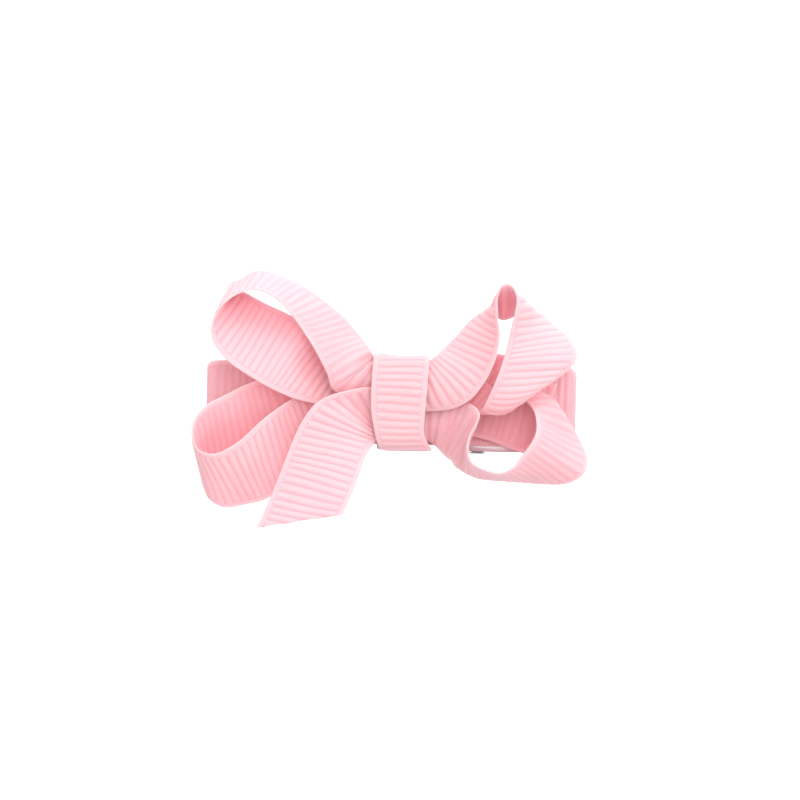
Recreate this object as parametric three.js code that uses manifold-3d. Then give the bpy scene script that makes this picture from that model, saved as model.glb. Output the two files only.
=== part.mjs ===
// A small twisted hair bow of grosgrain ribbon, bound and glued to a sprung steel alligator clip.
// Millimetres. +X runs along the clip towards its pinch end, +Z is up, and the bow faces -Y.
// The origin lies in the plane where the closed jaws meet, behind the middle of the knot.
import * as THREE from "three";
import { mergeVertices } from "three/addons/utils/BufferGeometryUtils.js";
import Module from "manifold-3d";

const wasm = await Module();
wasm.setup();

// ---- driving dimensions -------------------------------------------------------------------
const RIBBON_WIDTH = 10; // the bow's ribbon, selvedge to selvedge
const RIBBON_THICK = 0.6; // grosgrain with its ribs
const WRAP_WIDTH = 7.3; // the narrower ribbon round the knot
const COVER_WIDTH = 10.8; // the ribbon glued over the clip's top arm
const COVER_THICK = 0.5;

const CLIP_Z = -0.4; // the clip's centre line sits a little below the knot's middle
const STEEL = 0.6; // sheet thickness of both arms
const TIP_X = -25.1; // bare steel of the top arm, jaw end
const PINCH_X = 22.3; // bare steel of the top arm, pinch end
const ARM_WIDTH = 10.4;
const ARM_Y = -0.6; // inner face of the top arm
const EAR_WIDTH = 12; // across the outer faces of the top arm's ears
const EAR_X = [6.4, 15.6]; // where the ears leave the top arm
const LEVER_WIDTH = 9;
const LEVER_TIP_WIDTH = 7;
const LEVER_EAR_GAP = 0.2; // play between the lever's ears and the top arm's ears
const LEVER_FLAT_Y = 4.7; // middle of the lever's sheet behind the hinge
const HINGE = { x: 10, y: 2.4 };
const PIN_R = 0.75;
const PIN_PLAY = 0.1;
const WIRE_R = 0.3; // spring wire
const COIL_R = 1.45;
const COIL_TURNS = 6;
const COIL_PITCH = 0.85;
const SKIN = 0.1; // gap left where two glued layers meet

const steelMaterial = new THREE.MeshStandardMaterial({ color: 0xc4c2c4, roughness: 0.32, metalness: 1 });
const springMaterial = new THREE.MeshStandardMaterial({ color: 0x9d9da1, roughness: 0.28, metalness: 1 });
const ribbonMaterial = new THREE.MeshStandardMaterial({ color: 0xfbcfd6, roughness: 0.85, metalness: 0 });
const threadMaterial = new THREE.MeshStandardMaterial({ color: 0xf6c4cc, roughness: 0.7, metalness: 0 });
const glueMaterial = new THREE.MeshStandardMaterial({ color: 0xf3efe2, roughness: 0.3, metalness: 0 });

const bow = new THREE.Group();
function add(name, geometry, material, parent = bow) {
  const mesh = new THREE.Mesh(geometry, material);
  mesh.name = name;
  parent.add(mesh);
  return mesh;
}

// ---- booleans -----------------------------------------------------------------------------
function solid(geometry) {
  const bare = geometry.clone();
  bare.deleteAttribute("normal");
  bare.deleteAttribute("uv");
  const merged = mergeVertices(bare, 1e-5);
  return new wasm.Manifold(new wasm.Mesh({
    numProp: 3,
    vertProperties: new Float32Array(merged.attributes.position.array),
    triVerts: new Uint32Array(merged.index.array),
  }));
}
function geometryOf(manifold) {
  const mesh = manifold.getMesh();
  const geometry = new THREE.BufferGeometry();
  geometry.setAttribute("position", new THREE.BufferAttribute(new Float32Array(mesh.vertProperties), 3));
  geometry.setIndex(new THREE.BufferAttribute(new Uint32Array(mesh.triVerts), 1));
  geometry.computeVertexNormals();
  return geometry;
}

// ---- plates: outlines drawn in one plane and pushed through their thickness ------------------
function roundedRect(x0, x1, z0, z1, r) {
  const s = new THREE.Shape();
  s.moveTo(x0 + r, z0);
  s.lineTo(x1 - r, z0);
  s.absarc(x1 - r, z0 + r, r, -Math.PI / 2, 0);
  s.lineTo(x1, z1 - r);
  s.absarc(x1 - r, z1 - r, r, 0, Math.PI / 2);
  s.lineTo(x0 + r, z1);
  s.absarc(x0 + r, z1 - r, r, Math.PI / 2, Math.PI);
  s.lineTo(x0, z0 + r);
  s.absarc(x0 + r, z0 + r, r, Math.PI, 1.5 * Math.PI);
  return s;
}
const CURVE_STEPS = 4;
// An outline in X and Z, from y0 back to y1.
function plateXZ(shape, y0, y1) {
  const g = new THREE.ExtrudeGeometry(shape, { depth: y1 - y0, bevelEnabled: false, curveSegments: CURVE_STEPS });
  g.rotateX(Math.PI / 2); // the outline's second axis becomes Z, its depth runs to -Y
  g.translate(0, y1, 0);
  return g;
}
// An outline in X and Y, from z0 up to z1.
function plateXY(shape, z0, z1) {
  const g = new THREE.ExtrudeGeometry(shape, { depth: z1 - z0, bevelEnabled: false, curveSegments: CURVE_STEPS * 2 });
  g.translate(0, 0, z0);
  return g;
}
function polygon(points) {
  return new THREE.Shape(points.map(([x, y]) => new THREE.Vector2(x, y)));
}
// A bent strip of even thickness along a line of points in X and Y.
function bentStrip(points, thick) {
  const p = points.map(([x, y]) => new THREE.Vector2(x, y));
  const side = (i, sign) => {
    const before = p[Math.max(i - 1, 0)];
    const after = p[Math.min(i + 1, p.length - 1)];
    const inDir = p[i].clone().sub(before).normalize();
    const outDir = after.clone().sub(p[i]).normalize();
    const dir = i === 0 ? outDir : i === p.length - 1 ? inDir : inDir.clone().add(outDir).normalize();
    const mitre = i === 0 || i === p.length - 1 ? 1 : 1 / Math.max(dir.dot(inDir), 0.4);
    return p[i].clone().add(new THREE.Vector2(-dir.y, dir.x).multiplyScalar((sign * thick * mitre) / 2));
  };
  const left = p.map((_, i) => side(i, 1));
  const right = p.map((_, i) => side(i, -1)).reverse();
  return new THREE.Shape([...right, ...left].reverse());
}

// ---- top arm: a flat steel strip with two ears bent back to hold the hinge pin ----------------
const armHalf = ARM_WIDTH / 2;
const earOuter = EAR_WIDTH / 2;
const arm = plateXZ(
  roundedRect(TIP_X, PINCH_X, CLIP_Z - armHalf, CLIP_Z + armHalf, 1.2), ARM_Y - STEEL, ARM_Y);
const earBase = plateXZ(
  roundedRect(EAR_X[0], EAR_X[1], CLIP_Z - earOuter, CLIP_Z + earOuter, 0.3), ARM_Y - STEEL, ARM_Y);
const PIN_EDGE = 1.7; // steel left round the pin
function earShape(x0, x1, yPlate, yFar) {
  const away = Math.sign(yFar - yPlate);
  const s = new THREE.Shape();
  s.moveTo(x0, yPlate);
  s.lineTo(x1, yPlate);
  s.lineTo(HINGE.x + PIN_EDGE, HINGE.y);
  s.absarc(HINGE.x, HINGE.y, PIN_EDGE, 0, away * Math.PI, away < 0);
  const hole = new THREE.Path();
  hole.absarc(HINGE.x, HINGE.y, PIN_R + PIN_PLAY, 0, 2 * Math.PI, away > 0); // wound against the outline
  s.holes.push(hole);
  return s;
}
const armEar = earShape(EAR_X[0], EAR_X[1], ARM_Y - STEEL / 2, HINGE.y + PIN_EDGE);
let armSolid = solid(arm).add(solid(earBase));
for (const side of [-1, 1]) {
  const z = CLIP_Z + side * (earOuter - STEEL / 2);
  armSolid = armSolid.add(solid(plateXY(armEar, z - STEEL / 2, z + STEEL / 2)));
}
add("clip_top_arm", geometryOf(armSolid), steelMaterial);

// ---- lower lever: toothed jaw, two ears on the pin, and a handle that slopes away --------------
const lever = new THREE.Group();
bow.add(lever);
const LEVER_TIP = [-24.9, 0.75];
const LEVER_BENDS = [[5.8, LEVER_FLAT_Y], [13.5, LEVER_FLAT_Y]];
const LEVER_END = [22.3, 8];
const LEVER_CORNER = 1.5;
const leverHalf = LEVER_WIDTH / 2;
const leverProfile = bentStrip([LEVER_TIP, ...LEVER_BENDS, LEVER_END], STEEL);
const leverPlan = new THREE.Shape();
leverPlan.moveTo(LEVER_TIP[0] - 0.5, CLIP_Z - LEVER_TIP_WIDTH / 2);
leverPlan.lineTo(LEVER_BENDS[0][0], CLIP_Z - leverHalf);
leverPlan.lineTo(LEVER_END[0] - LEVER_CORNER, CLIP_Z - leverHalf);
leverPlan.absarc(LEVER_END[0] - LEVER_CORNER, CLIP_Z - leverHalf + LEVER_CORNER, LEVER_CORNER, -Math.PI / 2, 0);
leverPlan.lineTo(LEVER_END[0], CLIP_Z + leverHalf - LEVER_CORNER);
leverPlan.absarc(LEVER_END[0] - LEVER_CORNER, CLIP_Z + leverHalf - LEVER_CORNER, LEVER_CORNER, 0, Math.PI / 2);
leverPlan.lineTo(LEVER_BENDS[0][0], CLIP_Z + leverHalf);
leverPlan.lineTo(LEVER_TIP[0] - 0.5, CLIP_Z + LEVER_TIP_WIDTH / 2);
let leverSolid = solid(plateXY(leverProfile, CLIP_Z - leverHalf, CLIP_Z + leverHalf))
  .intersect(solid(plateXZ(leverPlan, -2, 12)));

// The jaw's lip is bent towards the top arm and cut into teeth.
const TEETH = 4;
const TOOTH_ROOT_Y = 0.55;
const TOOTH_TIP_Y = 0.2;
const lip = [[-LEVER_TIP_WIDTH / 2, 1], [-LEVER_TIP_WIDTH / 2, TOOTH_ROOT_Y]];
for (let i = 0; i < TEETH; i += 1) {
  const z0 = -LEVER_TIP_WIDTH / 2 + (i * LEVER_TIP_WIDTH) / TEETH;
  const pitch = LEVER_TIP_WIDTH / TEETH;
  lip.push([z0 + pitch * 0.3, TOOTH_TIP_Y], [z0 + pitch * 0.7, TOOTH_TIP_Y], [z0 + pitch, TOOTH_ROOT_Y]);
}
lip.push([LEVER_TIP_WIDTH / 2, 1]);
const lipGeometry = new THREE.ExtrudeGeometry(polygon(lip), { depth: STEEL, bevelEnabled: false });
lipGeometry.applyMatrix4(new THREE.Matrix4().set(
  0, 0, 1, LEVER_TIP[0] - 0.1,
  0, 1, 0, 0,
  -1, 0, 0, CLIP_Z,
  0, 0, 0, 1));
leverSolid = leverSolid.add(solid(lipGeometry));
const leverEar = earShape(LEVER_BENDS[0][0] + 1, LEVER_BENDS[1][0] - 0.3, LEVER_FLAT_Y, HINGE.y - PIN_EDGE);
const leverEarOuter = earOuter - STEEL - LEVER_EAR_GAP;
for (const side of [-1, 1]) {
  const z = CLIP_Z + side * (leverEarOuter - STEEL / 2);
  leverSolid = leverSolid.add(solid(plateXY(leverEar, z - STEEL / 2, z + STEEL / 2)));
}
const webHalf = leverEarOuter;
leverSolid = leverSolid.add(solid(plateXZ(
  roundedRect(LEVER_BENDS[0][0] + 1, LEVER_BENDS[1][0] - 0.3, CLIP_Z - webHalf, CLIP_Z + webHalf, 0.2),
  LEVER_FLAT_Y - STEEL / 2, LEVER_FLAT_Y + STEEL / 2)));
add("clip_lower_lever", geometryOf(leverSolid), steelMaterial, lever);

// ---- hinge pin: a headed rivet across the ears -------------------------------------------------
const PIN_HEAD_R = 1.15;
const PIN_HEAD = 0.25;
const pinHalf = earOuter + SKIN;
const pin = new THREE.LatheGeometry([
  [0, -pinHalf - PIN_HEAD], [PIN_HEAD_R * 0.7, -pinHalf - PIN_HEAD], [PIN_HEAD_R, -pinHalf - PIN_HEAD / 2],
  [PIN_HEAD_R, -pinHalf], [PIN_R, -pinHalf], [PIN_R, pinHalf], [PIN_HEAD_R, pinHalf],
  [PIN_HEAD_R, pinHalf + PIN_HEAD / 2], [PIN_HEAD_R * 0.7, pinHalf + PIN_HEAD], [0, pinHalf + PIN_HEAD],
].map(([r, h]) => new THREE.Vector2(r, h)), 20);
pin.rotateX(Math.PI / 2);
pin.translate(HINGE.x, HINGE.y, CLIP_Z);
add("hinge_pin", pin, steelMaterial);

// ---- torsion spring: a coil round the pin, one leg on each arm -----------------------------------
function wire(points, radius, sides, steps) {
  const section = new THREE.Shape();
  for (let i = 0; i < sides; i += 1) {
    const a = (2 * Math.PI * i) / sides;
    section[i ? "lineTo" : "moveTo"](radius * Math.cos(a), radius * Math.sin(a));
  }
  const path = new THREE.CatmullRomCurve3(points, false, "centripetal");
  return new THREE.ExtrudeGeometry(section, { extrudePath: path, steps, bevelEnabled: false });
}
const coilHalf = (COIL_TURNS * COIL_PITCH) / 2;
const coil = [];
const FIXED_LEG_END = new THREE.Vector3(18, 0.45, CLIP_Z - coilHalf);
for (let i = 0; i <= 4; i += 1) {
  const start = new THREE.Vector3(HINGE.x + 0.5, HINGE.y - COIL_R, CLIP_Z - coilHalf);
  coil.push(FIXED_LEG_END.clone().lerp(start, i / 4));
}
const COIL_STEPS = 12; // points in one turn
const coilPoints = COIL_TURNS * COIL_STEPS + COIL_STEPS / 2;
for (let i = 1; i <= coilPoints; i += 1) {
  const angle = -Math.PI / 2 - (2 * Math.PI * i) / COIL_STEPS;
  const rise = (2 * coilHalf * i) / coilPoints;
  coil.push(new THREE.Vector3(
    HINGE.x + COIL_R * Math.cos(angle), HINGE.y + COIL_R * Math.sin(angle), CLIP_Z - coilHalf + rise));
}
add("spring_coil", wire(coil, WIRE_R, 6, coil.length), springMaterial);
const legZ = CLIP_Z + coilHalf;
const movingLeg = [[HINGE.x + 0.45, HINGE.y + COIL_R], [13.2, 4], [15.5, 4.75], [18.2, 5.75]]
  .map(([x, y]) => new THREE.Vector3(x, y, legZ));
add("spring_moving_leg", wire(movingLeg, WIRE_R, 6, 8), springMaterial, lever);

// ---- ribbon cover of the top arm: one layer in front, folded round both ends ---------------------
const frontY = ARM_Y - STEEL - SKIN - COVER_THICK / 2;
const backY = ARM_Y + SKIN + COVER_THICK / 2;
const COVER_TUCK = [-17, 15.9]; // where the folded ends stop inside
const coverTip = TIP_X - SKIN - COVER_THICK / 2;
const coverPinch = PINCH_X + SKIN + COVER_THICK / 2;
const cover = bentStrip([
  [COVER_TUCK[0], backY], [coverTip, backY], [coverTip, frontY], [coverPinch, frontY],
  [coverPinch, backY], [COVER_TUCK[1], backY]], COVER_THICK);
const coverHalf = COVER_WIDTH / 2;
const coverOutline = roundedRect(coverTip - 1, coverPinch + 1, CLIP_Z - coverHalf, CLIP_Z + coverHalf, 1.3);
const coverSolid = solid(plateXY(cover, CLIP_Z - coverHalf, CLIP_Z + coverHalf))
  .intersect(solid(plateXZ(coverOutline, -4, 2)));
add("clip_cover_ribbon", geometryOf(coverSolid), ribbonMaterial);

// ---- ribbons ---------------------------------------------------------------------------------------
// A ribbon is a row of stations. Each gives the ribbon's two edges, [near edge, far edge, arch]. The
// ribbon keeps its full width everywhere: where its edges are drawn closer together than that, it
// arches between them, towards one face (arch > 0) or the other (arch < 0).
const STEPS = 2; // rows between two stations
const ACROSS = 4; // faces across the width
const xyz = (p) => new THREE.Vector3(p[0], p[1], p[2]);

function ribbonRows(stations, width) {
  const last = stations.length - 1;
  const near = new THREE.CatmullRomCurve3(stations.map((s) => xyz(s[0])), false, "catmullrom", 0.5);
  const far = new THREE.CatmullRomCurve3(stations.map((s) => xyz(s[1])), false, "catmullrom", 0.5);
  const ribs = [];
  for (let i = 0; i <= last * STEPS; i += 1) {
    const t = i / STEPS;
    const k = Math.min(Math.floor(t), last - 1);
    const a = near.getPoint(t / last);
    const b = far.getPoint(t / last);
    const centre = a.clone().add(b).multiplyScalar(0.5);
    const chord = Math.min(a.distanceTo(b), width);
    const across = b.sub(a).normalize();
    ribs.push({ centre, across, chord, arch: THREE.MathUtils.lerp(stations[k][2], stations[k + 1][2], t - k) });
  }
  return ribs.map(({ centre, across, chord, arch }, i) => {
    const ahead = ribs[Math.min(i + 1, ribs.length - 1)].centre;
    const heading = ahead.clone().sub(ribs[Math.max(i - 1, 0)].centre);
    const bulge = heading.cross(across).normalize();
    const sag = arch * chord * Math.sqrt(Math.max(0, (3 / 8) * (width / chord - 1)));
    return Array.from({ length: ACROSS + 1 }, (_, j) => {
      const v = j / ACROSS;
      return centre.clone().addScaledVector(across, (v - 0.5) * chord)
        .addScaledVector(bulge, sag * 4 * v * (1 - v));
    });
  });
}
// Gives a sheet of rows its thickness and closes it.
function thickSheet(rows, thick) {
  const n = rows.length;
  const m = rows[0].length;
  const at = (i, j) => rows[Math.min(Math.max(i, 0), n - 1)][Math.min(Math.max(j, 0), m - 1)];
  const positions = [];
  for (const side of [1, -1]) {
    for (let i = 0; i < n; i += 1) {
      for (let j = 0; j < m; j += 1) {
        const along = at(i + 1, j).clone().sub(at(i - 1, j));
        const across = at(i, j + 1).clone().sub(at(i, j - 1));
        const p = at(i, j).clone().addScaledVector(along.cross(across).normalize(), (side * thick) / 2);
        positions.push(p.x, p.y, p.z);
      }
    }
  }
  const index = [];
  const id = (s, i, j) => (s * n + i) * m + j;
  const quad = (a, b, c, d) => index.push(a, b, c, a, c, d);
  for (let i = 0; i < n - 1; i += 1) {
    for (let j = 0; j < m - 1; j += 1) {
      quad(id(0, i, j), id(0, i + 1, j), id(0, i + 1, j + 1), id(0, i, j + 1));
      quad(id(1, i, j), id(1, i, j + 1), id(1, i + 1, j + 1), id(1, i + 1, j));
    }
    quad(id(0, i, 0), id(1, i, 0), id(1, i + 1, 0), id(0, i + 1, 0));
    quad(id(0, i, m - 1), id(0, i + 1, m - 1), id(1, i + 1, m - 1), id(1, i, m - 1));
  }
  for (let j = 0; j < m - 1; j += 1) {
    quad(id(0, 0, j), id(0, 0, j + 1), id(1, 0, j + 1), id(1, 0, j));
    quad(id(0, n - 1, j), id(1, n - 1, j), id(1, n - 1, j + 1), id(0, n - 1, j + 1));
  }
  const geometry = new THREE.BufferGeometry();
  geometry.setAttribute("position", new THREE.Float32BufferAttribute(positions, 3));
  geometry.setIndex(index);
  geometry.computeVertexNormals();
  return geometry;
}
function ribbon(name, stations, width = RIBBON_WIDTH, thick = RIBBON_THICK) {
  add(name, thickSheet(ribbonRows(stations, width), thick), ribbonMaterial);
}

// Top left loop: out of the knot in front, up and over, and back behind itself.
ribbon("loop_top_left", [
  [[-0.5, -5.8, 0.1], [-0.6, -5.8, 4.95], 0],
  [[-3.6, -5.9, 0.3], [-1.9, -5.8, 5.2], -0.2],
  [[-7, -6.4, 0.5], [-2.9, -5.3, 5.35], -0.5],
  [[-9.1, -7.2, 1.4], [-3.65, -4.4, 5.25], -0.6],
  [[-9.8, -8, 3.3], [-4.4, -3.8, 6.75], -0.5],
  [[-11.4, -9, 6.4], [-5.8, -1.8, 8.6], -0.2],
  [[-13.6, -9.8, 9.7], [-8.6, -1.3, 11.5], 0],
  [[-15.9, -10.6, 12.4], [-12.5, -1.4, 14.3], 0],
  [[-18.2, -11.2, 13.8], [-16.2, -1.7, 16], 0],
  [[-20.2, -11.6, 13.9], [-19.1, -2.1, 16.6], 0],
  [[-22.4, -11.8, 12.9], [-21.4, -2.2, 15.4], 0],
  [[-24, -11.8, 11.2], [-22.6, -2.5, 14.9], 0],
  [[-24.8, -11.4, 9.1], [-22, -3.1, 14.3], 0],
  [[-24.5, -10.8, 6.8], [-20.4, -4.1, 13.7], 0],
  [[-22.5, -9.8, 4.6], [-18, -5.1, 12.3], 0],
  [[-20.1, -9, 3], [-15.1, -5.8, 11], 0],
  [[-17.5, -8.4, 1.5], [-12, -6.5, 9.6], 0],
  [[-14.6, -7.2, 0.2], [-9.4, -3.6, 8], 0],
  [[-11.7, -6.2, -0.5], [-7.4, -3.2, 6.7], 0],
  [[-8, -5.2, -1.1], [-4.8, -3.8, 5.5], 0],
  [[-3.9, -4.8, -1.8], [-2.7, -4.7, 5], 0],
  [[-0.5, -4.7, -2], [-0.6, -4.7, 4.8], 0],
]);

// Bottom left loop: its front runs down and out below the first loop, and its back lies on the clip.
ribbon("loop_bottom_left", [
  [[-0.6, -3.6, 3.5], [-0.4, -3.6, -4.7], 0],
  [[-4, -3.6, 3.4], [-3.3, -3.6, -4.9], 0],
  [[-7.9, -3.6, 2.4], [-6.4, -3.4, -6], 0],
  [[-11.7, -4.5, 1.1], [-9.2, -3.3, -7.3], 0],
  [[-14.9, -6.4, -0.4], [-12, -2.6, -9.2], 0],
  [[-18.1, -8.4, -2.9], [-15, -4.8, -11.6], 0],
  [[-20.9, -9.8, -5.6], [-17.7, -4.2, -13.2], 0],
  [[-23.8, -10.6, -7.3], [-20.4, -4, -13.9], 0],
  [[-25.9, -10.8, -7], [-22.8, -4.6, -14.3], 0],
  [[-26.9, -10.6, -5.8], [-24.8, -4.3, -13.3], 0],
  [[-27.1, -10, -4.3], [-25.5, -3.3, -11.6], 0],
  [[-26.6, -9.2, -2.6], [-25.3, -2.6, -10], 0],
  [[-25.2, -8.2, -1], [-23.7, -2.5, -8.9], 0],
  [[-22.9, -7, 0.3], [-20.9, -2.5, -7.8], 0],
  [[-19.8, -5.6, 1.9], [-17.3, -2.5, -6.7], 0],
  [[-15.9, -4, 2.9], [-13.1, -2.5, -5.6], 0],
  [[-11.8, -2.9, 3.5], [-9.3, -2.5, -5], 0],
  [[-7.5, -2.6, 3.9], [-5.9, -2.5, -4.7], 0],
  [[-3.6, -2.5, 4], [-2.8, -2.5, -4.3], 0],
  [[-0.6, -2.55, 4], [-0.4, -2.55, -4.2], 0],
]);

// Top right loop: rises to a narrow peak, turns over and comes down face on.
ribbon("loop_top_right", [
  [[0.5, -6.6, -1.2], [0.4, -6.4, 4.3], 0.1],
  [[3.6, -6.9, -1.25], [1.3, -6.3, 4.8], 0.1],
  [[6.5, -8, -0.9], [2.3, -5.9, 5.2], 0.3],
  [[8.8, -9.1, 0.3], [3.5, -5.4, 5.3], 0.4],
  [[10.2, -9.9, 2], [4.55, -4.6, 6.15], 0.4],
  [[11.3, -10.5, 4], [5.5, -3.5, 7.1], 0.2],
  [[12.1, -11, 6.3], [6.9, -2.8, 8.6], 0],
  [[12.4, -11.3, 8.7], [8.7, -2.3, 10.7], 0],
  [[12.1, -11.5, 11.3], [10.5, -2.3, 11.9], 0.3],
  [[12, -11.6, 13.4], [11.8, -2.5, 11.6], 0.35],
  [[12.4, -11.7, 14.9], [12.5, -2.7, 11], 0.3],
  [[13.3, -11.7, 15.4], [13.2, -2.8, 10.9], 0.2],
  [[14.2, -11.6, 14.8], [14.1, -2.7, 11.2], 0.3],
  [[14.6, -11.6, 13.4], [15.4, -2.5, 12], 0.6],
  [[14.4, -11.5, 11.7], [17.4, -2.4, 12], 0.6],
  [[14, -11.2, 9.8], [19.7, -3, 10.2], 0],
  [[13.5, -10.8, 7.4], [21.7, -5.2, 8.6], 0],
  [[12.9, -10.6, 5.3], [22.6, -8.6, 6.3], 0],
  [[12.2, -10.4, 3.2], [21.2, -8.6, 4.3], 0.4],
  [[11.3, -10, 1], [18.5, -8.8, 2.3], 0.5],
  [[10.4, -9, -0.8], [15.3, -8.2, 0.5], 0.4],
  [[9.2, -7.1, -1.7], [12.6, -6.4, 1.2], 0],
  [[6.9, -5.6, -1.6], [9.6, -4.9, 3.6], 0],
  [[3.9, -4.7, -1.3], [4.8, -4.6, 4.9], 0],
  [[0.5, -4.6, -1.4], [0.4, -4.6, 4.8], 0],
]);

// Bottom right loop: flares to the back round an oval mouth.
ribbon("loop_bottom_right", [
  [[0.5, -5.6, -0.1], [0.6, -5.4, -5.1], 0],
  [[3.1, -5.5, -0.1], [2.8, -5.2, -4.9], -0.1],
  [[6, -6.3, 0], [4.4, -4.2, -5.7], -0.35],
  [[8.3, -7.7, 0.1], [5.6, -3.2, -6.9], -0.3],
  [[10, -10.2, -1.2], [6.4, -3, -7.6], -0.2],
  [[9.8, -10.3, -2.5], [7.1, -2.7, -8.4], 0],
  [[8.9, -10.6, -4.2], [7.9, -1.8, -8.9], 0],
  [[8.6, -11, -5.9], [8.8, -1.6, -9.4], 0],
  [[9, -11.3, -7.6], [10.2, -1.6, -9.9], 0],
  [[10.6, -11.4, -8.6], [12.2, -1.6, -10.1], 0],
  [[12.7, -11.4, -9.1], [14.8, -1.7, -10.2], 0],
  [[14.5, -11.3, -8.3], [18.2, -2.3, -10.4], 0],
  [[15.7, -11.1, -6.7], [21.5, -3.8, -10.3], 0],
  [[16.8, -10.8, -5.2], [23.7, -4.8, -9.1], 0],
  [[17.4, -10.4, -3.8], [24.3, -4.1, -7.3], 0],
  [[17.5, -9.6, -2.4], [23.6, -3.2, -5.2], 0],
  [[17.1, -8.4, -0.9], [22.3, -3.2, -3.2], -0.4],
  [[16, -7, 0.3], [20.3, -3.4, -0.7], -0.5],
  [[14, -5.2, 1], [17.9, -3.6, 1.8], -0.2],
  [[11.4, -4.2, 0.8], [15.4, -3.6, 4.9], 0],
  [[8.4, -3.6, 0.6], [12.5, -3.6, 6.4], 0],
  [[5.8, -3.5, 0.5], [8, -3.6, 6], 0],
  [[3.2, -3.5, 0.5], [4.1, -3.5, 5.2], 0],
  [[0.5, -3.5, 0.8], [0.4, -3.5, 5], 0],
]);

// Front tail: rolls over beside the knot and hangs down to a slanting cut.
ribbon("tail_front_left", [
  [[-0.5, -7, 1.2], [-0.5, -6.9, -3.3], 0],
  [[-2.4, -7.05, 1.5], [-0.8, -6.8, -3.8], 0],
  [[-4.5, -7.65, 1.7], [-1.2, -6.75, -4.2], -0.2],
  [[-7, -8.5, 1.2], [-1.6, -6.7, -4.5], -0.5],
  [[-9.8, -9.2, 0.3], [-2.2, -6.7, -4.8], -0.6],
  [[-11.7, -9.5, -1], [-2.8, -6.7, -5.1], -0.3],
  [[-12.9, -9.6, -2.9], [-3.6, -7, -5.7], 0],
  [[-14.1, -9.6, -5.6], [-4.7, -8.2, -7.7], 0],
  [[-15.5, -9.7, -9.4], [-6, -9.3, -11.6], 0],
  [[-17.1, -9.9, -13.6], [-7.2, -9.7, -13.9], 0],
  [[-18.5, -10, -16.8], [-7.7, -9.8, -14.9], 0],
]);

// Back tail: lies along the clip inside the bottom right loop.
ribbon("tail_back_right", [
  [[0.4, -2.5, 4.4], [0.6, -2.5, -4.3], 0],
  [[4.4, -2.5, 5.2], [3.4, -2.5, -4.2], 0],
  [[9.4, -2.5, 5.6], [7.4, -2.5, -4.2], 0],
  [[13.6, -2.5, 4.8], [10.9, -2.5, -4.8], 0],
  [[17.2, -2.5, 3.6], [14.1, -2.5, -5.9], 0],
  [[20.2, -2.5, 2.6], [17.1, -2.5, -6.9], 0],
]);

// ---- centre wrap: a narrow ribbon round the knot and the top arm, its ends lapped behind the arm ----
const WRAP_THICK = 0.45;
ribbon("centre_wrap", [ // from the end glued behind the arm, over the top, down the front and back up
  [[-3.3, -0.25, 1.5], [3.7, -0.25, 1.5], 0],
  [[-3.5, -0.25, 4.4], [3.5, -0.25, 4.4], 0],
  [[-3.55, -0.35, 5.15], [3.5, -0.35, 5.15], 0],
  [[-3.6, -1.2, 5.75], [3.5, -1.2, 5.7], 0],
  [[-3.65, -2.6, 6], [3.5, -2.6, 5.85], 0],
  [[-3.7, -4.2, 6.15], [3.5, -4.2, 5.95], 0],
  [[-3.75, -6, 6.1], [3.5, -6, 5.9], 0],
  [[-3.8, -7.55, 5.4], [3.45, -7.4, 5.3], 0],
  [[-3.95, -8.2, 4], [3.4, -8, 3.9], 0],
  [[-4.05, -8.5, 1.5], [3.25, -8.25, 1.5], 0],
  [[-3.95, -8.45, -1.5], [3, -8.15, -1.5], 0],
  [[-3.5, -8.15, -4], [2.95, -7.9, -4], 0],
  [[-3.15, -7.6, -5.3], [3.4, -7.35, -5.3], 0],
  [[-2.9, -6.6, -6.1], [3.9, -6.4, -6.1], 0],
  [[-2.85, -5, -6.3], [4, -5, -6.3], 0],
  [[-2.9, -3, -6.3], [3.9, -3, -6.3], 0],
  [[-3.1, -0.9, -6.25], [3.8, -0.9, -6.25], 0],
  [[-3.2, 0.25, -5.9], [3.7, 0.25, -5.9], 0],
  [[-3.3, 0.55, -4.8], [3.6, 0.55, -4.8], 0],
  [[-3.4, 0.55, -2], [3.5, 0.55, -2], 0],
  [[-3.45, 0.55, 1], [3.5, 0.55, 1], 0],
  [[-3.5, 0.55, 3.5], [3.5, 0.55, 3.5], 0],
], WRAP_WIDTH, WRAP_THICK);

// ---- binding thread under the wrap: two turns that pinch the folded ribbon -------------------------
const THREAD_R = 0.17;
const THREAD_SIDES = 6;
const THREAD_TURNS = 2;
const THREAD_PITCH = 0.5;
const THREAD_CORNER = 1.6;
const threadLoop = new THREE.Path(); // one turn, in Y and Z
const threadBox = { y0: -7.45, y1: -2, z0: -5.45, z1: 5.3 };
const turn = roundedRect(threadBox.y0, threadBox.y1, threadBox.z0, threadBox.z1, THREAD_CORNER);
threadLoop.curves = turn.curves;
const THREAD_STEPS = 36; // points in one turn
const turnPoints = threadLoop.getSpacedPoints(THREAD_STEPS);
const threadPoints = [];
for (let i = 0; i <= THREAD_TURNS * THREAD_STEPS - 2; i += 1) {
  const { x: y, y: z } = turnPoints[(i + 5) % THREAD_STEPS];
  const x = THREAD_PITCH * (i / THREAD_STEPS - THREAD_TURNS / 2);
  threadPoints.push(new THREE.Vector3(x, y, z));
}
add("binding_thread", wire(threadPoints, THREAD_R, THREAD_SIDES, threadPoints.length * 2), threadMaterial);

// ---- glue: two pads between the knot and the cover, and one in the wrap's lap ------------------------
for (const [name, x0, x1] of [["bow_glue_left", -3.2, -0.8], ["bow_glue_right", 0.8, 3.2]]) {
  add(name, plateXZ(roundedRect(x0, x1, -3.6, 3.2, 0.9), -2.12, -1.88), glueMaterial);
}
add("wrap_glue", plateXZ(roundedRect(-3.1, 2.8, 1.8, 3.2, 0.5), 0.09, 0.21), glueMaterial);

export default bow;
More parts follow.
